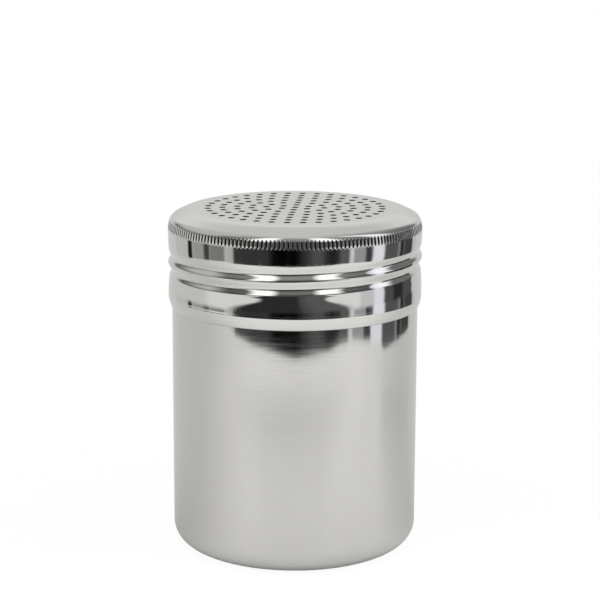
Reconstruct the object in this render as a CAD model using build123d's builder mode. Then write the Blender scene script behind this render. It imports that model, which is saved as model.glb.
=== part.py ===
from build123d import *
import math
import os

os.makedirs("parts", exist_ok=True)

# A shaker in two pressed stainless steel pieces: a deep-drawn can, and a perforated lid that screws
# onto its neck. Millimetres, +Z up, the origin at the middle of the base, the front facing -Y.

# Can
can_radius = 34.0            # outside of the straight wall
can_wall = 0.5               # sheet thickness
base_round = 5.8             # outside radius of the round between the base and the wall
stand_width = 4.2            # the middle of the base is pressed up, so the can stands on a ring
recess_depth = 0.8
recess_ramp = 3.0            # width of the slope round the recess
neck_step = 0.8              # how far the wall is rolled in to make the neck
neck_ramp = 2.4              # height over which it rolls in
neck_start = 0.5             # the wall rolls in this far above the lid's foot
rim_chamfer = 0.12

# Lid
lid_wall = 0.45              # sheet thickness
lid_foot = 67.7              # height of the skirt's trimmed lower edge
lid_depth = 26.9             # from that edge to the flat top
turn_in_height = 3.4         # the skirt's foot curves inwards over this height
shoulder_width = 7.5         # from the edge of the flat top, which holds the holes, to the skirt
crown_bend = 9.0             # outside radius of the bend from the flat top into the shoulder
shoulder_angle = 25.0        # slope of the shoulder
corner_round = 1.3           # outside radius between the shoulder and the grip band
band_stand_out = 0.25        # how far the grip band stands out of the skirt
band_height = 0.75           # of the band's straight part, below the round
band_flare = 0.6             # height over which the skirt widens up to the band

# Rolled thread, right-handed
thread_pitch = 4.0
thread_height = 11.0         # bottom of the lower groove at the front, above the lid's foot
groove_depth = 0.85
groove_above = 1.95          # height of the groove's upper flank
groove_below = 1.15          # height of its lower flank
groove_floor = 0.35          # width of its bottom
thread_turns = 2             # times that the thread crosses the front
thread_reach = 150.0         # degrees of full depth on each side of the front
run_out = 40.0               # degrees in which each end fades out
ridge_crest = 0.8            # width of the crest of the can's thread
ridge_flank = 0.7            # height of each of its flanks

# Holes: one in the middle, and rings round it with six more holes each than the last
hole_diameter = 1.6
hole_sides = 8               # each hole is a prism round its circle, because there are so many
ring_pitch = 4.0
plateau_rim = 2.5            # least width of the flat top that is left outside the last ring
first_turn = 0.39            # turn of the first ring, in parts of its hole spacing
ring_turn = 0.42             # turn of each later ring from the last, in parts of its spacing

# Clearances
crest_gap = 0.55             # between the crest of the can's thread and the inside of the skirt
foot_gap = 0.15              # between the can's wall and the lid's trimmed edge
flank_gap = 0.35             # between the flanks of the two threads, along the axis
seat_gap = 0.35              # between the can's rim and the shoulder of the lid above it

front = -90.0                # the direction of -Y, in degrees from +X
overrun = 0.05               # how far a cutter or an added rib runs past the surface that it meets

top_height = lid_foot + lid_depth
neck_radius = can_radius - neck_step
recess_radius = can_radius - base_round - stand_width
lid_radius = can_radius + crest_gap + lid_wall
plateau_radius = lid_radius - shoulder_width
ring_count = int((plateau_radius - plateau_rim) // ring_pitch)
band_radius = lid_radius + band_stand_out
shoulder_slope = math.tan(math.radians(shoulder_angle))


def polar(radius, degrees, height=0.0):
    """A point at a radius and an angle from +X, at a height."""
    angle = math.radians(degrees)
    return Vector(radius * math.cos(angle), radius * math.sin(angle), height)


def thread_path(radius, front_height, fade):
    """The thread's helix, whose ends ease out by fade along the radius, so that a groove fades away."""
    first = front - thread_reach - run_out
    last = front + 360 * (thread_turns - 1) + thread_reach + run_out
    steps = round((last - first) / 5)
    points = []
    for i in range(steps + 1):
        angle = first + (last - first) * i / steps
        past = max(first + run_out - angle, angle - last + run_out, 0) / run_out
        rise = thread_pitch * (angle - front) / 360
        points.append(polar(radius + fade * past**2, angle, front_height + rise))
    with BuildLine() as path:
        Spline(*points)
    return path.line


def across(path):
    """The plane across the start of a path round the Z axis: X points outwards and Y up."""
    start = path @ 0
    outwards = Vector(start.X, start.Y, 0).normalized()
    along = path % 0
    square = along - outwards * along.dot(outwards)
    return Plane(origin=start, x_dir=outwards, z_dir=square * -1)


def flat_v(floor, depth, above, below, past):
    """A V with a flat bottom at X = 0, drawn past times as deep as it is."""
    with BuildSketch() as v:
        with BuildLine():
            Polyline(
                (0, -floor / 2),
                (0, floor / 2),
                (depth * past, floor / 2 + above * past),
                (depth * past, -floor / 2 - below * past),
                close=True,
            )
        make_face()
    return v.sketch


def to_axis(outline):
    """The face between the Z axis and an outline that has one end on it."""
    near, far = sorted((outline @ 0, outline @ 1), key=lambda end: end.X)
    with BuildSketch() as face:
        with BuildLine():
            add(outline)
            Polyline(far, (0, far.Y), near)
        make_face()
    return face.sketch


# The lid's thread: a groove pressed into the skirt, and the bead that it makes on the inside, which
# is as wide as the groove and a sheet's thickness all round.
groove_root = lid_radius - groove_depth
groove_height = lid_foot + thread_height
groove_path = thread_path(groove_root, groove_height, groove_depth + lid_wall)

with BuildPart() as groove:
    with BuildSketch(across(groove_path)):
        add(flat_v(groove_floor, groove_depth, groove_above, groove_below, 1 + overrun))
    sweep(path=groove_path, is_frenet=True)

with BuildPart() as bead:
    with BuildSketch(across(groove_path)):
        add(flat_v(groove_floor, groove_depth, groove_above, groove_below, 1))
        offset(amount=lid_wall, kind=Kind.INTERSECTION)
        with Locations((groove_depth - lid_wall + overrun, 0)):
            Rectangle(lid_radius, lid_depth, align=(Align.MAX, Align.CENTER), mode=Mode.INTERSECT)
    sweep(path=groove_path, is_frenet=True)

# The lid's skin runs from the middle of the top down to the foot, and its lining follows it inside.
turn_in = lid_radius - can_radius - foot_gap
turn_in_radius = (turn_in_height**2 + turn_in**2) / (2 * turn_in)
turn_in_angle = math.degrees(math.asin(turn_in_height / turn_in_radius))

with BuildLine() as skin:
    top = Line((0, top_height), (plateau_radius, top_height))
    bend = JernArc(top @ 1, (1, 0), crown_bend, -shoulder_angle)
    corner = (band_radius, (bend @ 1).Y - (band_radius - (bend @ 1).X) * shoulder_slope)
    Line(bend @ 1, corner)
    band = Line(corner, (band_radius, corner[1] - corner_round - band_height))
    flare = Line(band @ 1, (lid_radius, (band @ 1).Y - band_flare))
    skirt = Line(flare @ 1, (lid_radius, lid_foot + turn_in_height))
    JernArc(skirt @ 1, (0, -1), turn_in_radius, -turn_in_angle)

with BuildLine() as lining:
    offset(skin.line, amount=lid_wall, side=Side.RIGHT, closed=False)

with BuildPart() as lid_inside:
    with BuildSketch(Plane.XZ) as hollow_section:
        add(to_axis(lining.line))
        fillet(hollow_section.vertices().sort_by_distance(corner)[0], corner_round - lid_wall)
        with Locations((0, lid_foot)):
            Rectangle(can_radius + foot_gap, turn_in_height, align=(Align.MIN, Align.CENTER))
    revolve(axis=Axis.Z)
    add(bead.part, mode=Mode.SUBTRACT)

with BuildPart() as lid:
    with BuildSketch(Plane.XZ) as section:
        add(to_axis(skin.line))
        fillet(section.vertices().sort_by_distance(corner)[0], corner_round)
    revolve(axis=Axis.Z)
    add(groove.part, mode=Mode.SUBTRACT)
    add(lid_inside.part, mode=Mode.SUBTRACT)
    with BuildSketch(Plane.XY.offset(top_height)):
        RegularPolygon(hole_diameter / 2, hole_sides, major_radius=False)
        for ring in range(1, ring_count + 1):
            turn = (first_turn + ring_turn * (ring - 1)) * 360 / (6 * ring)
            with PolarLocations(ring * ring_pitch, 6 * ring, start_angle=turn):
                RegularPolygon(hole_diameter / 2, hole_sides, major_radius=False)
    extrude(amount=-2 * lid_wall, mode=Mode.SUBTRACT)

# The can's thread runs just above the lid's bead. It is rolled out of the neck, so it is hollow
# on the inside. The neck ends just under the lid's shoulder.
bead_slope = groove_above / groove_depth
bead_top = (groove_floor / 2 + bead_slope * (can_radius - groove_root)
            + lid_wall * math.hypot(1, bead_slope))
ridge_height = groove_height + bead_top + flank_gap + ridge_crest / 2
ridge_path = thread_path(can_radius, ridge_height, -neck_step - can_wall)
ridge_past = 1 + can_wall / neck_step
hollow_past = ridge_past + (can_wall + overrun) / neck_step
under_shoulder = ((bend @ 1).Y - (neck_radius - (bend @ 1).X) * shoulder_slope
                  - lid_wall * math.hypot(1, shoulder_slope))

with BuildLine() as wall:
    recess = Line((0, recess_depth), (recess_radius - recess_ramp, recess_depth))
    ramp = Line(recess @ 1, (recess_radius, 0))
    stand = Line(ramp @ 1, (can_radius - base_round, 0))
    heel = JernArc(stand @ 1, (1, 0), base_round, 90)
    side = Line(heel @ 1, (can_radius, lid_foot + neck_start))
    roll_in = Line(side @ 1, (neck_radius, lid_foot + neck_start + neck_ramp))
    Line(roll_in @ 1, (neck_radius, under_shoulder - seat_gap))

with BuildLine() as inner_wall:
    offset(wall.line, amount=can_wall, side=Side.LEFT, closed=False)

with BuildPart() as can_inside:
    with BuildSketch(Plane.XZ):
        add(to_axis(inner_wall.line))
    revolve(axis=Axis.Z)
    with BuildSketch(across(ridge_path)):
        add(flat_v(ridge_crest, -neck_step, ridge_flank, ridge_flank, hollow_past))
        offset(amount=-can_wall, kind=Kind.INTERSECTION)
    sweep(path=ridge_path, is_frenet=True)

with BuildPart() as can:
    with BuildSketch(Plane.XZ):
        add(to_axis(wall.line))
    revolve(axis=Axis.Z)
    with BuildSketch(across(ridge_path)):
        add(flat_v(ridge_crest, -neck_step, ridge_flank, ridge_flank, ridge_past))
    sweep(path=ridge_path, is_frenet=True)
    add(can_inside.part, mode=Mode.SUBTRACT)
    chamfer(can.edges().group_by(Axis.Z)[-1], rim_chamfer)

lid.part.label = "lid"
can.part.label = "can"
for piece in (can.part, lid.part):
    export_step(piece, f"parts/{piece.label}.step")
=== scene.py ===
import bmesh
import bpy
import math
import numpy as np
from mathutils import Matrix, Vector
from mathutils.geometry import delaunay_2d_cdt


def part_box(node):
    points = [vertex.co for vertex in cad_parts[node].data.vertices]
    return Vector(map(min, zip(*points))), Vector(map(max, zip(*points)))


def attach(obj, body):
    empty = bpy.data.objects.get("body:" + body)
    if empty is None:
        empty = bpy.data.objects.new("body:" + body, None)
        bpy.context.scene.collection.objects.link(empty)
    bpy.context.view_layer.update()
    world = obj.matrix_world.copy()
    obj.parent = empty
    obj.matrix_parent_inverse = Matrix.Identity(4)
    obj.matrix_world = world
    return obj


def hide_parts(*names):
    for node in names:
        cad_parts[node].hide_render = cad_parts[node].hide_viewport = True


# A steel shaker: a deep-drawn can and a perforated lid that screws onto its neck.
# Lengths are in metres. Angles round the axis are in degrees from the front, counterclockwise
# from above, and a section is given by points of (radius from the axis, height).

mm = 0.001
mergeWithin = 0.0005 * mm                   # points closer than this become one
eachSide = np.linspace(-1, 1, num=9)        # places to both sides of a point, in parts of a reach

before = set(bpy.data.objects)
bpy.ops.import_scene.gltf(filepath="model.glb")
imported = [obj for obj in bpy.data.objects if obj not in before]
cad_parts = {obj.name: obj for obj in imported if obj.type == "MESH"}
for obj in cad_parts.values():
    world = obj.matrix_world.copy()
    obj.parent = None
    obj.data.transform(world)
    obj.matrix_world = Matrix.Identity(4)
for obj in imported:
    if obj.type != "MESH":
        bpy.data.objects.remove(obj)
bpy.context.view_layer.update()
canLow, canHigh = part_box("can")
lidLow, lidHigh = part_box("lid")
print("frame loaded:", sorted(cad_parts))


# Evenly spaced angles round the axis, from the back
def ringAngles(count):
    return np.arange(count) * 360 / count - 180


# A ring of points: x is the radius times the sine of the angle, y is minus the radius times its
# cosine, and z is the height. Radius and height are numbers or arrays.
def ringPoints(angles, radius, height):
    turn = np.radians(angles)
    return np.column_stack((radius * np.sin(turn), -radius * np.cos(turn),
                            np.broadcast_to(height, turn.shape)))


# One ring for each radius and height of a section
def ringsOf(angles, section):
    return [ringPoints(angles, radius, height) for radius, height in section]


# Faces between two rings, given by their vertex numbers. One ring may have several times the
# points of the other: each coarse point is then the middle of a fan, and a wedge joins two fans.
def joinRings(upper, lower):
    if len(upper) == len(lower):
        return [np.column_stack((upper, lower, np.roll(lower, -1), np.roll(upper, -1)))]
    fine, coarse = (lower, upper) if len(upper) < len(lower) else (upper, lower)
    ratio = len(fine) // len(coarse)
    apex = coarse[(np.arange(len(fine)) + ratio // 2) // ratio % len(coarse)]
    fans = np.column_stack((fine, apex, np.roll(fine, -1)))
    wedges = np.column_stack((coarse, np.roll(coarse, -1), fine[(ratio + 1) // 2::ratio]))
    if fine is lower:
        return [fans[:, ::-1], wedges[:, ::-1]]
    return [fans, wedges]


# Faces between each ring of a list and the next
def joinAll(rings):
    starts = np.cumsum([0] + [len(ring) for ring in rings])
    numbers = [np.arange(first, last) for first, last in zip(starts[:-1], starts[1:])]
    groups = []
    for upper, lower in zip(numbers[:-1], numbers[1:]):
        groups += joinRings(upper, lower)
    return groups


# A smooth mesh object from points and groups of faces, with its doubles merged
def buildPiece(name, points, faceGroups, node):
    mesh = bpy.data.meshes.new(name)
    mesh.from_pydata(points.tolist(), [], [face for group in faceGroups for face in group.tolist()])
    work = bmesh.new()
    work.from_mesh(mesh)
    bmesh.ops.remove_doubles(work, verts=work.verts, dist=mergeWithin)
    work.to_mesh(mesh)
    work.free()
    mesh.shade_smooth()
    piece = bpy.data.objects.new(name, mesh)
    bpy.context.scene.collection.objects.link(piece)
    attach(piece, node)
    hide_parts(node)
    return piece


# Points of a circular arc in the section
def arc(centre, radius, startDegrees, endDegrees, count):
    turn = np.radians(np.linspace(startDegrees, endDegrees, count))
    return np.column_stack((centre[0] + radius * np.cos(turn), centre[1] + radius * np.sin(turn)))


# A curve from 0 to 1 that starts and ends level: 3 times the square less twice the cube
def ease(part):
    part = np.clip(part, 0, 1)
    return part * part * (3 - 2 * part)


# The rolled thread, right-handed. Its own angle runs on from turn to turn, and it crosses the
# front at 0 and at 360.

thread = {
    "pitch": 4.0 * mm,
    "firstAngle": -150.0,       # full depth from here
    "lastAngle": 510.0,         # to here
    "runOut": 40.0,             # then it fades out
    "lowestEnd": 250.0,         # the lowest pass ends here
    "highestStart": 110.0,      # and the highest starts here
    "change": 60.0,             # over this many degrees
}


# The thread's own angle at each pass over the given angles round the axis, whether the thread is
# there, and how far it has faded: the square of the way past its full depth
def threadPasses(angles):
    for turn in (-1, 0, 1, 2):
        own = angles + 360 * turn
        past = np.maximum(thread["firstAngle"] - own, own - thread["lastAngle"]) / thread["runOut"]
        yield own, past <= 1, np.clip(past, 0, 1) ** 2


# A radius averaged over a short height with raised-cosine weights, which rounds its edges
def softened(radiusAt, angles, heights, reach):
    weights = 1 + np.cos(np.pi * eachSide)
    layers = [weight * radiusAt(angles, heights + part * reach)
              for part, weight in zip(eachSide, weights)]
    return sum(layers) / weights.sum()


# The inside of a sheet: the least radius of the circles of the sheet's thickness along the outside
def liningOf(radiusAt, angles, heights, wall):
    layers = [radiusAt(angles, heights + part * wall) - wall * math.sqrt(1 - part * part)
              for part in eachSide]
    return np.min(layers, axis=0)


# Lid

lid = {
    "columns": 380,             # points round the skirt
    "wall": 0.45 * mm,
    "skirt": 35.0 * mm,         # radius
    "plateau": 27.5 * mm,       # radius of the flat top
    "crownBend": 9.0 * mm,
    "shoulderAngle": 25.0,
    "cornerRound": 2.5 * mm,
    "turnInHeight": 3.4 * mm,
    "foot": 34.15 * mm,         # radius of the trimmed edge
    "edge": 0.05 * mm,          # round of the trimmed edge
    "edgeRise": 0.01 * mm,      # height of its lowest points above the foot
    "grooveHeight": 11.0 * mm,  # bottom of the lower groove at the front, above the foot
    "grooveDepth": 0.85 * mm,
    "grooveAbove": 1.65 * mm,   # height of the upper flank
    "grooveBelow": 1.4 * mm,    # height of the lower flank
    "lastDeeper": 0.15 * mm,    # the lowest turn is deeper than the others by this
    "lastTaller": 0.6 * mm,     # and its lower flank is taller
    "grooveFloor": 0.35 * mm,
    "softness": 0.5 * mm,       # half the height over which an edge of the groove is rounded
    "waist": 0.30 * mm,         # how far the sheet is drawn in just below the lower groove
    "waistReach": 1.7 * mm,     # height over which that dies away
    "brow": 0.07 * mm,          # and just above the upper groove
    "browReach": 0.9 * mm,
    "lean": 0.021,              # slope by which the skirt narrows from the knurl to that groove
    "row": 0.27 * mm,           # spacing of the rows of points over the thread
    "insideRow": 1.2,           # times that on the inside
    "hold": 0.2 * mm,           # from the ends of those rows to the next shape
}

knurl = {
    "count": 190,
    "points": 8,                # round one tooth
    "depth": 0.25 * mm,
    "notch": 0.5 * mm,          # width of a notch at the surface
    "top": 92.0 * mm,           # just above where the corner's round meets the notches' bottom
    "bottom": 89.1 * mm,
    "fade": 0.6 * mm,           # height over which a notch grows shallow at the bottom
    "foot": 89.35 * mm,         # from here up the skirt bends into the cone that carries the teeth
    "slope": 12.0,              # degrees by which that cone leans in
    "row": 0.19 * mm,
    "past": 0.1 * mm,           # the rows run on at most this far below the notches
}

toothPitch = 2 * math.pi * lid["skirt"] / knurl["count"]


# Outside of the skirt: the least of the plain radius and of a V with a flat bottom round each pass
# of the thread. The sheet is drawn in a little below the lowest pass and above the highest, dying
# away exponentially, and above the highest it also leans in from the knurl down.
def plainSkirt(angles, heights):
    above, half = lid["grooveAbove"], lid["grooveFloor"] / 2
    start, end = thread["firstAngle"] - thread["runOut"], thread["lastAngle"] + thread["runOut"]
    shape = (len(heights), len(angles))
    cut, drawn = np.zeros(shape), np.zeros(shape)
    for own, present, fade in threadPasses(angles):
        lowest = (ease((own - start) / thread["runOut"])
                  * ease((thread["lowestEnd"] - own) / thread["change"]))
        highest = (ease((own - thread["highestStart"]) / thread["change"])
                   * ease((end - own) / thread["runOut"]))
        deep = lid["grooveDepth"] + lid["lastDeeper"] * lowest
        below = lid["grooveBelow"] + lid["lastTaller"] * lowest
        centre = lidLow.z + lid["grooveHeight"] + thread["pitch"] * own / 360
        up = heights[:, None] - centre[None, :]
        v = (deep - (deep + lid["wall"]) * fade - np.clip(up - half, 0, None) * deep / above
             - np.clip(-up - half, 0, None) * deep / below)
        cut = np.maximum(cut, np.where(present, v, 0))
        under = np.clip(-up - half - below, 0, None)
        over = np.clip(up - half - above, 0, None)
        waist = lid["waist"] * lowest * np.exp(-under / lid["waistReach"])
        brow = (lid["brow"] * np.exp(-over / lid["browReach"])
                + lid["lean"] * np.clip(knurl["foot"] - heights, 0, None)[:, None])
        drawn = np.maximum(drawn, waist * (up < 0))
        drawn = np.maximum(drawn, brow * highest * (up > 0))
    return lid["skirt"] - np.maximum(cut, drawn)


def skirtRadius(angles, heights):
    return softened(plainSkirt, angles, heights, lid["softness"])


# Radius of the knurl's notches at a height: a V round the middle of each, cut into the teeth, that
# grows shallow at the bottom
def notchRadius(angles, height, crest):
    deep = knurl["depth"] * ease((height - knurl["bottom"]) / knurl["fade"])
    aside = np.abs((angles * knurl["count"] / 360) % 1 - 0.5) * toothPitch
    return crest - np.clip(deep - aside * 2 * knurl["depth"] / knurl["notch"], 0, None)


# Radius of the teeth: the skirt bends in by an arc as tight as the corner's, up to a straight cone.
# Below the arc the skirt leans in towards the thread.
def crestRadius(heights):
    bend, slope = lid["cornerRound"], math.radians(knurl["slope"])
    above = np.clip(heights - knurl["foot"], 0, None)
    arced = np.minimum(above, bend * math.sin(slope))
    crest = (lid["skirt"] - bend + np.sqrt(bend ** 2 - arced ** 2)
             - (above - arced) * math.tan(slope))
    return crest - lid["lean"] * np.clip(knurl["foot"] - heights, 0, None)


# The middle of the corner's round, below the end of the crown's bend. The round touches the
# shoulder's slope and the teeth's cone, so its middle is where the lines cross that run beside
# them at its radius.
def cornerMiddle(crownEnd):
    bend, slope = lid["cornerRound"], math.radians(lid["shoulderAngle"])
    fall, steep = math.tan(slope), math.tan(math.radians(knurl["slope"]))
    apex = crownEnd[1] - bend / math.cos(slope) + crownEnd[0] * fall
    middle = (lid["skirt"] - bend - (apex - knurl["foot"]) * steep) / (1 - fall * steep)
    return middle, apex - middle * fall


# The rings of the corner and of the knurl below it, with finer ones from the notches' top down. A
# notch's bottom runs straight up from the cone until it comes out of the round.
def knurlRings(corner, coarse):
    fine = ringAngles(knurl["count"] * knurl["points"])
    heights = np.arange(corner[-1, 1], knurl["bottom"] - knurl["past"], -knurl["row"])[1:]
    outline = np.vstack((corner, np.column_stack((crestRadius(heights), heights))))
    notched = outline[:, 1] <= knurl["top"]
    rings = ringsOf(coarse, outline[~notched])
    for radius, height in outline[notched]:
        notches = notchRadius(fine, height, crest=max(radius, corner[-1, 0]))
        rings.append(ringPoints(fine, np.minimum(radius, notches), height))
    return rings


# The lid's rings from the edge of the flat top down the outside, round the foot and up the inside
# to the flat top again
def lidRings():
    outer, inner = ringAngles(lid["columns"]), ringAngles(lid["columns"] // 2)
    foot, wall, edge = lidLow.z, lid["wall"], lid["edge"]
    shoulder = 90 - lid["shoulderAngle"]
    crownCentre = (lid["plateau"], lidHigh.z - lid["crownBend"])
    crown = arc(crownCentre, lid["crownBend"], 90, shoulder, count=10)
    cornerCentre = cornerMiddle(crown[-1])
    corner = arc(cornerCentre, lid["cornerRound"], shoulder, knurl["slope"], count=14)
    rings = ringsOf(outer, crown[:-1])
    rings += ringsOf(outer, np.linspace(crown[-1], corner[0], num=5)[:-1])
    rings += knurlRings(corner, outer)

    skirtTop, skirtFoot = rings[-1][0, 2], foot + lid["turnInHeight"]
    heights = np.arange(skirtTop - lid["hold"], skirtFoot + lid["hold"], -lid["row"])
    rings += ringsOf(outer, zip(skirtRadius(outer, heights), heights))
    turnIn = lid["skirt"] - lid["foot"]
    turn = (lid["turnInHeight"] ** 2 + turnIn ** 2) / (2 * turnIn)
    turnAngle = math.degrees(math.asin(lid["turnInHeight"] / turn))
    turnCentre = (lid["skirt"] - turn, skirtFoot)
    trimmed = ((lid["foot"] + edge, foot + lid["edgeRise"]), (lid["foot"], foot + edge))
    rings += ringsOf(outer, arc(turnCentre, turn, 0, -turnAngle, count=14)[:-1])
    rings += ringsOf(outer, trimmed)

    lining = arc(turnCentre, turn - wall, -turnAngle, 0, count=12)
    rings += ringsOf(inner, lining[lining[:, 0] > lid["foot"]])
    inside = np.arange(skirtFoot + 2 * lid["hold"], heights[0], lid["insideRow"] * lid["row"])
    rings += ringsOf(inner, zip(liningOf(skirtRadius, inner, inside, wall), inside))
    rings += ringsOf(inner, arc(cornerCentre, lid["cornerRound"] - wall, 0, shoulder, count=6))
    rings += ringsOf(inner, arc(crownCentre, lid["crownBend"] - wall, shoulder, 90, count=7))
    return rings


holes = {
    "radius": 0.9 * mm,
    "pitch": 4.0 * mm,          # from ring to ring
    "rings": 6,
    "firstTurn": 0.39,          # turn of the first ring, in parts of its hole spacing
    "laterTurn": 0.42,          # turn of each later ring from the last
    "sides": 16,
    "lip": 0.1 * mm,            # the punch rolls the upper edge over by this much
    "burr": 0.03 * mm,          # round of the lower edge
    "hold": 0.02 * mm,          # from the lip to the first ring of the straight wall
    "clear": 0.97,              # a triangle with its middle within this part of the radius is cut out
    "closest": 1e-9,            # the flat plate tells apart points that are farther than this
}


# One hole in the middle and rings of six, twelve and so on
def holeCentres():
    centres = [np.zeros((1, 2))]
    for ring in range(1, holes["rings"] + 1):
        turn = holes["firstTurn"] + holes["laterTurn"] * (ring - 1)
        angle = (np.arange(6 * ring) + turn) * 2 * math.pi / (6 * ring)
        centres.append(ring * holes["pitch"] * np.column_stack((np.cos(angle), np.sin(angle))))
    return np.vstack(centres)


# Circles of one radius round all the centres: an array of centre, point, coordinate
def circlesRound(centres, radius):
    turn = np.arange(holes["sides"]) * 2 * math.pi / holes["sides"]
    circle = radius * np.column_stack((np.cos(turn), np.sin(turn)))
    return centres[:, None, :] + circle[None, :, :]


# Triangles of a flat plate between an outline and the circles of its holes
def plate(outline, centres, radius):
    loops = circlesRound(centres, radius).reshape(-1, 2)
    points = np.vstack((outline, loops))
    rim = np.arange(len(outline))
    circles = len(outline) + np.arange(len(loops)).reshape(len(centres), -1)
    edges = np.vstack((np.column_stack((rim, np.roll(rim, -1))),
                       np.column_stack((circles.ravel(), np.roll(circles, -1, axis=1).ravel()))))
    cut = delaunay_2d_cdt([Vector(p) for p in points.tolist()], edges.tolist(), [], 0,
                          holes["closest"])
    flat = np.array([tuple(p) for p in cut[0]])
    faces = np.array(cut[2])
    middles = flat[faces].mean(axis=1)
    away = np.linalg.norm(middles[:, None, :] - centres[None, :, :], axis=2).min(axis=1)
    return flat, faces[away > radius * holes["clear"]]


def makeLid():
    rings = lidRings()
    points, groups = [np.vstack(rings)], joinAll(rings)
    count = len(points[0])
    centres = holeCentres()
    top, under = lidHigh.z, lidHigh.z - lid["wall"]
    radius, lip, burr = holes["radius"], holes["lip"], holes["burr"]
    # each hole from the flat top over the lip, down the wall and out again
    section = np.vstack((((radius + 2 * lip, top),),
                         arc((radius + lip, top - lip), lip, 90, 180, count=4),
                         ((radius, top - lip - holes["hold"]), (radius, under + 2 * burr)),
                         arc((radius + burr, under + burr), burr, 180, 270, count=2),
                         ((radius + 3 * burr, under),)))
    shape = (len(section), len(centres), holes["sides"])
    for r, height in section:
        loop = circlesRound(centres, r).reshape(-1, 2)
        points.append(np.column_stack((loop, np.full(len(loop), height))))
    numbers = count + np.arange(math.prod(shape)).reshape(shape)
    upper, lower = numbers[:-1], numbers[1:]
    quads = (upper, np.roll(upper, -1, axis=2), np.roll(lower, -1, axis=2), lower)
    groups.append(np.stack(quads, axis=-1).reshape(-1, 4))
    count += math.prod(shape)
    for ring, (r, height), step in ((rings[0], section[0], 1), (rings[-1], section[-1], -1)):
        flat, faces = plate(ring[:, :2], centres, r)
        points.append(np.column_stack((flat, np.full(len(flat), height))))
        groups.append(faces[:, ::step] + count)
        count += len(flat)
    return buildPiece("lidShell", np.vstack(points), groups, "lid")


# Can

can = {
    "columns": 360,
    "wall": 0.5 * mm,
    "radius": 34.0 * mm,
    "baseRound": 5.8 * mm,
    "recess": 24.0 * mm,        # radius
    "recessRamp": 3.0 * mm,
    "recessDepth": 0.8 * mm,
    "neckStep": 0.8 * mm,
    "neckStart": 68.2 * mm,     # height
    "neckRamp": 2.4 * mm,
    "ridgeHeight": 80.41 * mm,  # of the thread at the front
    "ridgeCrest": 0.8 * mm,
    "ridgeFlank": 0.7 * mm,
    "softness": 0.35 * mm,
    "row": 0.22 * mm,           # spacing of the rows of points over the thread
    "rowsBelow": 4.2 * mm,      # they start this far below the thread's height at the front
    "rowsEnd": 0.5 * mm,        # and end this far below the rim
    "hold": 0.15 * mm,          # from the ends of the straight wall to its first and last rings
    "pole": 0.02 * mm,          # radius of the first ring round the axis
}


# Outside of the neck: the greatest of its radius and of a ridge with sloping flanks round each pass
def plainNeck(angles, heights):
    step = can["neckStep"]
    raised = np.zeros((len(heights), len(angles)))
    for own, present, fade in threadPasses(angles):
        centre = can["ridgeHeight"] + thread["pitch"] * own / 360
        away = np.abs(heights[:, None] - centre[None, :]) - can["ridgeCrest"] / 2
        ridge = (step - (step + can["wall"]) * fade
                 - np.clip(away, 0, None) * step / can["ridgeFlank"])
        raised = np.maximum(raised, np.where(present, ridge, 0))
    return can["radius"] - step + raised


def neckRadius(angles, heights):
    return softened(plainNeck, angles, heights, can["softness"])


# The can's rings from the middle of the base out and up the outside, over the rim and down inside
def canRings():
    angles = ringAngles(can["columns"])
    base, rim, wall, radius = canLow.z, canHigh.z, can["wall"], can["radius"]
    rings = []

    def addAll(section):
        rings.extend(ringsOf(angles, section))

    part = np.linspace(0, 1, num=9)
    rampStart = can["recess"] - can["recessRamp"]
    ramp = np.column_stack((rampStart + can["recessRamp"] * part,
                            base + can["recessDepth"] * (1 - ease(part))))
    heelCentre = (radius - can["baseRound"], base + can["baseRound"])
    neck = radius - can["neckStep"]
    rollIn = np.column_stack((radius - can["neckStep"] * ease(part),
                              can["neckStart"] + can["neckRamp"] * part))
    low, high = heelCentre[1], rollIn[0, 1]
    addAll(np.linspace((can["pole"], base + can["recessDepth"]), ramp[0], num=12)[:-1])
    addAll(ramp)
    addAll(arc(heelCentre, can["baseRound"], -90, 0, count=18))
    addAll(np.linspace((radius, low + can["hold"]), (radius, high - can["hold"]), num=16))
    addAll(rollIn)
    heights = np.arange(can["ridgeHeight"] - can["rowsBelow"], rim - can["rowsEnd"], can["row"])
    addAll(np.linspace(rollIn[-1], (neck, heights[0]), num=4)[1:-1])
    addAll(zip(neckRadius(angles, heights), heights))
    addAll(arc((neck - wall / 2, rim - wall / 2), wall / 2, 0, 180, count=9))

    falling = heights[::-1]
    addAll(zip(liningOf(neckRadius, angles, falling, wall), falling))
    addAll(rollIn[::-1] - ((wall, 0),))
    addAll(np.linspace((radius - wall, high), (radius - wall, low), num=10)[1:])
    addAll(arc(heelCentre, can["baseRound"] - wall, 0, -90, count=14)[1:])
    addAll(ramp[::-1] + ((0, wall),))
    addAll(np.linspace(ramp[0], (can["pole"], ramp[0, 1]), num=10)[1:] + ((0, wall),))
    return rings


def makeCan():
    rings = canRings()[::-1]
    groups = joinAll(rings)
    points = np.vstack(rings)
    count = len(points)
    first, last = np.arange(can["columns"]), np.arange(count - can["columns"], count)
    poles = [[0, 0, rings[0][0, 2]], [0, 0, rings[-1][0, 2]]]
    groups.append(np.column_stack((first, np.roll(first, -1), np.full(len(first), count))))
    groups.append(np.column_stack((np.roll(last, -1), last, np.full(len(last), count + 1))))
    return buildPiece("canShell", np.vstack((points, poles)), groups, "can")


lidShell = makeLid()
print("lid:", len(lidShell.data.polygons), "faces")
canShell = makeCan()
print("can:", len(canShell.data.polygons), "faces")


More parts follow.
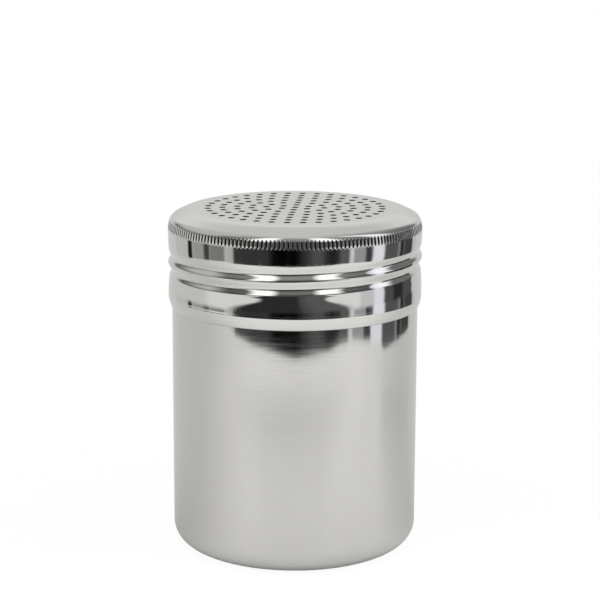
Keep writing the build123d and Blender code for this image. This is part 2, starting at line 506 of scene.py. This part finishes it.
# Nodes, written as nested calls
class Graph:
    def __init__(self, owner):
        owner.use_nodes = True
        self.tree = owner.node_tree
        self.tree.nodes.clear()

    def add(self, kind, inputs=None, **settings):
        node = self.tree.nodes.new("ShaderNode" + kind)
        for key, value in settings.items():
            setattr(node, key, value)
        for key, value in (inputs or {}).items():
            if isinstance(value, bpy.types.NodeSocket):
                self.tree.links.new(value, node.inputs[key])
            else:
                node.inputs[key].default_value = value
        return node.outputs

    def math(self, operation, *values):
        return self.add("Math", dict(enumerate(values)), operation=operation)[0]

    # smoothstep of a value between two places, which may fall as well as rise
    def smooth(self, value, start, end, low=0.0, high=1.0):
        if start > end:
            start, end, low, high = end, start, high, low
        return self.add("MapRange", {"Value": value, "From Min": start, "From Max": end,
                                     "To Min": low, "To Max": high},
                        interpolation_type="SMOOTHSTEP")[0]

    # 1 between two places, with edges of one softness
    def band(self, value, start, end, soft):
        half = soft / 2
        return self.math("MULTIPLY", self.smooth(value, start - half, start + half),
                         self.smooth(value, end + half, end - half))

    # degrees round the axis from the front
    def azimuth(self, x, y):
        return self.math("DEGREES", self.math("ARCTAN2", x, self.math("MULTIPLY", y, -1.0)))

    def mix(self, factor, first, second):
        return self.add("Mix", {0: factor, 6: first, 7: second}, data_type="RGBA")[2]

    def scale(self, vector, *factors):
        return self.add("Mapping", {"Vector": vector, "Scale": factors})[0]

    def noise(self, vector, scale, detail):
        return self.add("TexNoise", {"Vector": vector, "Scale": scale, "Detail": detail})[0]


# Steel. Where a name ends in From, it holds the two heights between which a finish takes over.

steel = {
    "colour": (0.70, 0.693, 0.672, 1),
    "canColour": (0.655, 0.648, 0.63, 1),
    "paintedHoleShade": (0.02, 0.02, 0.02, 1),          # painted shade: near-black on the punched holes' walls and on the flat top's lower face
    "holeShadeBelow": 0.06,                      # it starts this part of the lip below the flat top
    "holeShadeAbove": 1.01,                      # and ends this many of the sheet's thicknesses below it
    "holeShadeWithin": 1.5 * mm,                 # and inside the edge of the flat top by this
    "notch": (0.02, 0.02, 0.02, 1),         # painted shade: near-black in the bottoms of the knurl's notches
    "notchShadeEdge": (1.15, 0.9),               # where that starts and is full, in half notches
    "knurlRoughness": (0.09, 0.09, 0.09, 1),
    "knurlFrom": (91.6 * mm, 91.2 * mm),
    "topRoughness": (0.22, 0.28),           # least and greatest
    "topFrom": (92.1 * mm, 92.6 * mm),
    "skirtRoughness": (0.03, 0.08),
    "canRoughness": (0.04, 0.2),            # near the lid and lower down
    "canFrom": (61.0 * mm, 40.0 * mm),
    "brushRoughness": 0.01,                 # more or less by the brush marks
    "brushed": 0.85,                        # anisotropy
    # patterns: scale and detail
    "satin": (90.0, 3.0),
    "lines": (900.0, 2.0),                  # faint draw lines down the skirt
    "brush": (110.0, 3.0),                  # brush marks round the can
    "lidWave": (45.0, 1.0),
    "canWave": (40.0, 1.0),
    "linesHeight": 0.02,                    # what the height is multiplied by in the pattern
    "brushHeight": 26,
    "satinRange": (0.35, 0.65),             # values between which a pattern works
    "otherRange": (0.3, 0.7),
    # relief: its strength, and its depths
    "relief": 0.5,
    "linesDepth": 0.002 * mm,
    "brushDepth": 0.001 * mm,
    "waveDepth": 0.04 * mm,
}


# The normal of a fine relief with the sheet's wide waves over it
def relief(g, fine, depth, wave):
    under = g.add("Bump", {"Height": fine, "Strength": steel["relief"], "Distance": depth})[0]
    return g.add("Bump", {"Height": wave, "Strength": steel["relief"],
                          "Distance": steel["waveDepth"], "Normal": under})[0]


# The lid: polished skirt, satin top, worn knurl, and painted shade, near-black, on the hole walls,
# the flat top's lower face and the knurl's notches
def lidSteel():
    material = bpy.data.materials.new("lidSteel")
    g = Graph(material)
    place = g.add("TexCoord")["Object"]
    x, y, height = g.add("SeparateXYZ", {0: place})[0:3]
    lines = g.noise(g.scale(place, 1, 1, steel["linesHeight"]), *steel["lines"])
    wave = g.noise(place, *steel["lidWave"])
    satin = g.noise(place, *steel["satin"])
    roughTop = g.smooth(satin, *steel["satinRange"], *steel["topRoughness"])
    roughSide = g.smooth(lines, *steel["otherRange"], *steel["skirtRoughness"])
    rough = g.mix(g.smooth(height, *steel["topFrom"]), roughSide, roughTop)
    # painted shade: the holes' walls, and the lower face of the flat top with them, are coloured
    # near-black
    highest = lidHigh.z - steel["holeShadeBelow"] * holes["lip"]
    lowest = lidHigh.z - steel["holeShadeAbove"] * lid["wall"]
    inHoleShade = g.math("MULTIPLY", g.math("LESS_THAN", height, highest),
                    g.math("GREATER_THAN", height, lowest))
    fromAxis = g.add("VectorMath", {0: g.scale(place, 1, 1, 0)}, operation="LENGTH")[1]
    within = g.math("LESS_THAN", fromAxis, lid["plateau"] - steel["holeShadeWithin"])
    inHoleShade = g.math("MULTIPLY", inHoleShade, within)
    # the distance from the middle of a notch, in parts of a tooth, as in notchRadius
    across = g.math("FRACT", g.math("MULTIPLY", g.azimuth(x, y), knurl["count"] / 360))
    across = g.math("ABSOLUTE", g.math("SUBTRACT", across, 0.5))
    outer, inner = (edge * knurl["notch"] / 2 / toothPitch for edge in steel["notchShadeEdge"])
    inKnurl = g.math("MULTIPLY", g.smooth(height, *steel["knurlFrom"]),
                     g.smooth(height, knurl["bottom"], knurl["bottom"] + knurl["fade"]))
    # painted shade: the notches of the knurl are coloured near-black
    inNotchShade = g.math("MULTIPLY", inKnurl, g.smooth(across, outer, inner))
    colour = g.mix(inNotchShade, steel["colour"], steel["notch"])
    # painted shade in the holes and under the flat top
    colour = g.mix(inHoleShade, colour, steel["paintedHoleShade"])
    rough = g.mix(inKnurl, rough, steel["knurlRoughness"])
    normal = relief(g, lines, steel["linesDepth"], wave)
    shader = g.add("BsdfPrincipled", {"Base Color": colour, "Metallic": 1.0,
                                      "Roughness": rough, "Normal": normal})[0]
    g.add("OutputMaterial", {"Surface": shader})
    return material


# The can: brushed round its axis, bright near the lid and more satin lower down
def canSteel():
    material = bpy.data.materials.new("canSteel")
    g = Graph(material)
    place = g.add("TexCoord")["Object"]
    height = g.add("SeparateXYZ", {0: place})[2]
    brush = g.noise(g.scale(place, 1, 1, steel["brushHeight"]), *steel["brush"])
    wave = g.noise(place, *steel["canWave"])
    rough = g.smooth(height, *steel["canFrom"], *steel["canRoughness"])
    marks = g.smooth(brush, *steel["otherRange"], -steel["brushRoughness"], steel["brushRoughness"])
    normal = relief(g, brush, steel["brushDepth"], wave)
    tangent = g.add("Tangent", direction_type="RADIAL", axis="Z")[0]
    shader = g.add("BsdfPrincipled", {"Base Color": steel["canColour"], "Metallic": 1.0,
                                      "Roughness": g.math("ADD", rough, marks),
                                      "Anisotropic": steel["brushed"],
                                      "Anisotropic Rotation": 0.25,     # a quarter turn
                                      "Normal": normal, "Tangent": tangent})[0]
    g.add("OutputMaterial", {"Surface": shader})
    return material


lidShell.data.materials.append(lidSteel())
canShell.data.materials.append(canSteel())
print("steel done")


# The table: white paper, with painted shade that darkens it towards the sides

table = {
    "points": 240,
    # its outline: angle from the front, and how far the paper reaches from the shaker
    "outline": ((-180, 0.90), (-150, 0.90), (-128, 0.335), (-64, 0.335), (-55, 0.308), (-38, 0.294),
                (-29, 0.289), (0, 0.274), (29, 0.283), (40, 0.293), (53, 0.297), (70, 0.292),
                (87, 0.271), (117, 0.283), (130, 0.290), (152, 0.90), (180, 0.90)),
    "colour": (0.91, 0.908, 0.895, 1),
    "palest": 12.0,             # angle at which it is palest
    "sideShadeFrom": (40, 105),      # degrees from there between which the painted side shade takes over
    "sideShade": (0.64, 0.638, 0.63, 1),
    "camera": 0.9,              # share of plain white that the camera sees
    "white": 1.035,             # strength of that white
}


# A flat sheet whose reach follows the outline
def makeTable():
    angles = ringAngles(table["points"])
    reach = np.interp(angles, *zip(*table["outline"]))
    points = ringPoints(angles, reach, canLow.z)
    mesh = bpy.data.meshes.new("table")
    mesh.from_pydata(points.tolist(), [], [list(range(len(points)))])
    piece = bpy.data.objects.new("table", mesh)
    bpy.context.scene.collection.objects.link(piece)
    material = bpy.data.materials.new("whitePaper")
    g = Graph(material)
    x, y = g.add("SeparateXYZ", {0: g.add("TexCoord")["Object"]})[0:2]
    aside = g.math("ABSOLUTE", g.math("SUBTRACT", g.azimuth(x, y), table["palest"]))
    # painted shade: the paper darkens from its palest angle towards the sides
    colour = g.mix(g.smooth(aside, *table["sideShadeFrom"]), table["colour"], table["sideShade"])
    paper = g.add("BsdfDiffuse", {"Color": colour})[0]
    white = g.add("Emission", {"Color": (1, 1, 1, 1), "Strength": table["white"]})[0]
    seen = g.math("MULTIPLY", g.add("LightPath")["Is Camera Ray"], table["camera"])
    g.add("OutputMaterial", {"Surface": g.add("MixShader", {0: seen, 1: paper, 2: white})[0]})
    mesh.materials.append(material)


# The room as the steel mirrors it, by direction. Each card is a range of azimuth, 0 in front of
# the shaker and positive to its right, then the softness of its edges and its colour. A later card
# covers an earlier one. There is one set for what stands low, beyond the table, and one for the
# walls above it. The sets in front narrow upwards like an arch.
# Where a name ends in From, it holds two elevations between which that colour takes over.

room = {
    "camera": 1.0,              # the camera sees plain white
    "diffuse": 1.087,           # and so does matt paper
    "join": (-11.4, -10.0),     # elevations between which the low set gives way to the walls
    "arch": (-11.5, 1, 1.0, 1.9),   # two elevations, and how many times narrower the arch is at each
    "wallColour": (0.70, 0.70, 0.69, 1),
    "walls": [
        (-86, -20, 16, (0.87, 0.87, 0.86)),
        (20, 66, 6, (0.90, 0.90, 0.895)),
        (60, 74.5, 6, (0.70, 0.70, 0.72)),
        (75, 86, 4, (0.95, 0.95, 1.04)),
        (87, 130, 4, (0.09, 0.09, 0.095)),
        (99, 113, 3, (0.03, 0.03, 0.032)),
    ],
    "frontWalls": [
        (-60, 51, 16, (0.03, 0.03, 0.03)),
        (6, 47, 10, (0.09, 0.09, 0.092)),
        (16, 46, 10, (0.12, 0.12, 0.124)),
    ],
    "lowColour": (0.62, 0.62, 0.61, 1),
    "low": [
        (-112.5, -106, 3, (0.015, 0.012, 0.014)),
        (-105, -91, 3, (0.40, 0.39, 0.38)),
        (-90.5, -82.5, 4, (0.05, 0.05, 0.05)),
        (-82.5, -66, 4, (0.25, 0.245, 0.235)),
        (-63.5, -56, 3, (0.54, 0.53, 0.52)),
        (49, 54.5, 2.5, (0.76, 0.76, 0.76)),
        (54.5, 66, 3, (0.37, 0.37, 0.39)),
        (66, 74.5, 3, (0.06, 0.06, 0.065)),
        (74.5, 87.5, 4, (0.97, 0.97, 1.06)),
        (88.5, 132, 4, (0.11, 0.11, 0.12)),
        (106, 110, 3, (0.25, 0.25, 0.25)),
        (110.5, 114.5, 3, (0.025, 0.025, 0.025)),
        (118, 131, 3, (0.06, 0.06, 0.06)),
    ],
    "frontLow": [
        (-57, 48.7, 3, (0.044, 0.044, 0.046)),
        (-22, 6, 10, (0.001, 0.001, 0.001)),
        (14, 26, 7, (0.09, 0.09, 0.095)),
        (29, 38, 6, (0.02, 0.02, 0.02)),
        (41, 50, 4, (0.12, 0.12, 0.125)),
    ],
    "back": (142, 155),         # azimuths on both sides between which the front gives way to it
    "left": (-62, -92),         # azimuths between which the ceiling gives way to the left's
    "right": (88, 98),          # and the beam to the right's
    "window": (76.5, 86.5, 3),  # a card that cuts the beam
    "beam": (0.085, 0.085, 0.087, 1),
    "rightBeam": (0.2, 0.2, 0.205, 1),
    "beamFrom": (5, 12),
    "ceiling": (0.36, 0.36, 0.355, 1),
    "ceilingFrom": (24, 56),
    "leftCeiling": (0.61, 0.608, 0.60, 1),
    "leftCeilingFrom": (8, 26),
    "overhead": (0.71, 0.708, 0.70, 1),
    "overheadFrom": (62, 84),
    "screen": (0.69, 0.688, 0.68, 1),
    "screenFrom": (2, 10),
    "strip": (0.88, 0.878, 0.87, 1),
    "stripFrom": (13, 20),
    "overStripFrom": (30, 42),
    # lamps: azimuth, degrees aside from it, elevations at the foot and at the head, each pair from
    # where the lamp starts to where it is full, and its colour
    "lamps": [
        (-33, (18, 6), (12, 26), (74, 64), (1.5, 1.49, 1.47, 1)),
        (33, (18, 6), (17, 31), (74, 64), (1.5, 1.49, 1.47, 1)),
        (90, (15, 3), (9, 23), (74, 64), (1.3, 1.3, 1.42, 1)),
    ],
}


# What stands low, and the walls over it
def walls(g, azimuth, elevation):
    arched = g.math("MULTIPLY", azimuth, g.smooth(elevation, *room["arch"]))

    def cards(rows, across, colour):
        for start, end, soft, level in rows:
            colour = g.mix(g.band(across, start, end, soft), colour, (*level, 1))
        return colour

    low = cards(room["low"], azimuth, room["lowColour"])
    low = cards(room["frontLow"], arched, low)
    high = cards(room["walls"], azimuth, room["wallColour"])
    high = cards(room["frontWalls"], arched, high)
    return g.mix(g.smooth(elevation, *room["join"]), low, high)


# In front, a dark beam runs between the walls and the ceiling, and the window cuts it. To the left
# the ceiling is paler and comes down lower.
def beamAndCeiling(g, azimuth, elevation, front, colour):
    beam = g.math("MULTIPLY", g.math("MULTIPLY", front, g.smooth(elevation, *room["beamFrom"])),
                  g.math("SUBTRACT", 1.0, g.band(azimuth, *room["window"])))
    beamColour = g.mix(g.smooth(azimuth, *room["right"]), room["beam"], room["rightBeam"])
    left = g.smooth(azimuth, *room["left"])
    ceiling = g.mix(left, room["ceiling"], room["leftCeiling"])
    ceiling = g.mix(g.smooth(elevation, *room["overheadFrom"]), ceiling, room["overhead"])
    above = g.math("MAXIMUM",
                   g.math("MULTIPLY", front, g.smooth(elevation, *room["ceilingFrom"])),
                   g.math("MULTIPLY", left, g.smooth(elevation, *room["leftCeilingFrom"])))
    return g.mix(above, g.mix(beam, colour, beamColour), ceiling)


def lamps(g, azimuth, elevation, colour):
    for middle, side, foot, head, level in room["lamps"]:
        across = g.math("ABSOLUTE", g.math("SUBTRACT", azimuth, middle))
        up = g.math("MULTIPLY", g.smooth(elevation, *foot), g.smooth(elevation, *head))
        colour = g.mix(g.math("MULTIPLY", g.smooth(across, *side), up), colour, level)
    return colour


# Behind and above stands a pale screen, which the satin top mirrors
def screenBehind(g, elevation, back, colour):
    screen = g.mix(g.smooth(elevation, *room["stripFrom"]), room["screen"], room["strip"])
    screen = g.mix(g.smooth(elevation, *room["overStripFrom"]), screen, room["overhead"])
    return g.mix(g.math("MULTIPLY", back, g.smooth(elevation, *room["screenFrom"])), colour, screen)


def makeRoom():
    world = bpy.data.worlds.new("room")
    bpy.context.scene.world = world
    g = Graph(world)
    x, y, z = g.add("SeparateXYZ", {0: g.add("TexCoord")["Generated"]})[0:3]
    azimuth = g.azimuth(x, y)
    elevation = g.math("DEGREES", g.math("ARCSINE", z))
    away = g.math("ABSOLUTE", azimuth)
    front, back = g.smooth(away, *room["back"], 1.0, 0.0), g.smooth(away, *room["back"])
    colour = walls(g, azimuth, elevation)
    colour = beamAndCeiling(g, azimuth, elevation, front, colour)
    colour = lamps(g, azimuth, elevation, colour)
    colour = screenBehind(g, elevation, back, colour)

    path = g.add("LightPath")
    plain = g.add("Background", {"Color": (1, 1, 1, 1), "Strength": room["diffuse"]})[0]
    mirrored = g.add("Background", {"Color": colour, "Strength": 1.0})[0]
    white = g.add("Background", {"Color": (1, 1, 1, 1), "Strength": room["camera"]})[0]
    shader = g.add("MixShader", {0: path["Is Glossy Ray"], 1: plain, 2: mirrored})[0]
    shader = g.add("MixShader", {0: path["Is Camera Ray"], 1: shader, 2: white})[0]
    g.add("OutputWorld", {"Surface": shader})


camera = {
    "place": (0.0, -0.52164, 0.18332),
    "lens": 115.43,
    "near": 0.01,               # nothing closer than this shows
    "down": 12.4126,            # degrees
    "right": 0.15424,
    "roll": 0.21452,
}


# The camera looks along +Y, turned right, then down, then rolled, each by its angle
def makeCamera():
    data = bpy.data.cameras.new("camera")
    data.lens = camera["lens"]
    data.clip_start = camera["near"]
    piece = bpy.data.objects.new("camera", data)
    bpy.context.scene.collection.objects.link(piece)
    down, right, roll = (math.radians(camera[key]) for key in ("down", "right", "roll"))
    forward = Vector((math.sin(right) * math.cos(down), math.cos(right) * math.cos(down),
                      -math.sin(down)))
    level = Vector((math.cos(right), -math.sin(right), 0))
    upright = level.cross(forward)
    side = math.cos(roll) * level + math.sin(roll) * upright
    up = math.cos(roll) * upright - math.sin(roll) * level
    turn = Matrix((side, up, -forward)).transposed()
    piece.matrix_world = Matrix.Translation(camera["place"]) @ turn.to_4x4()
    bpy.context.scene.camera = piece


makeTable()
makeRoom()
makeCamera()
bpy.context.scene.view_settings.view_transform = "Standard"
print("table, room and camera done")
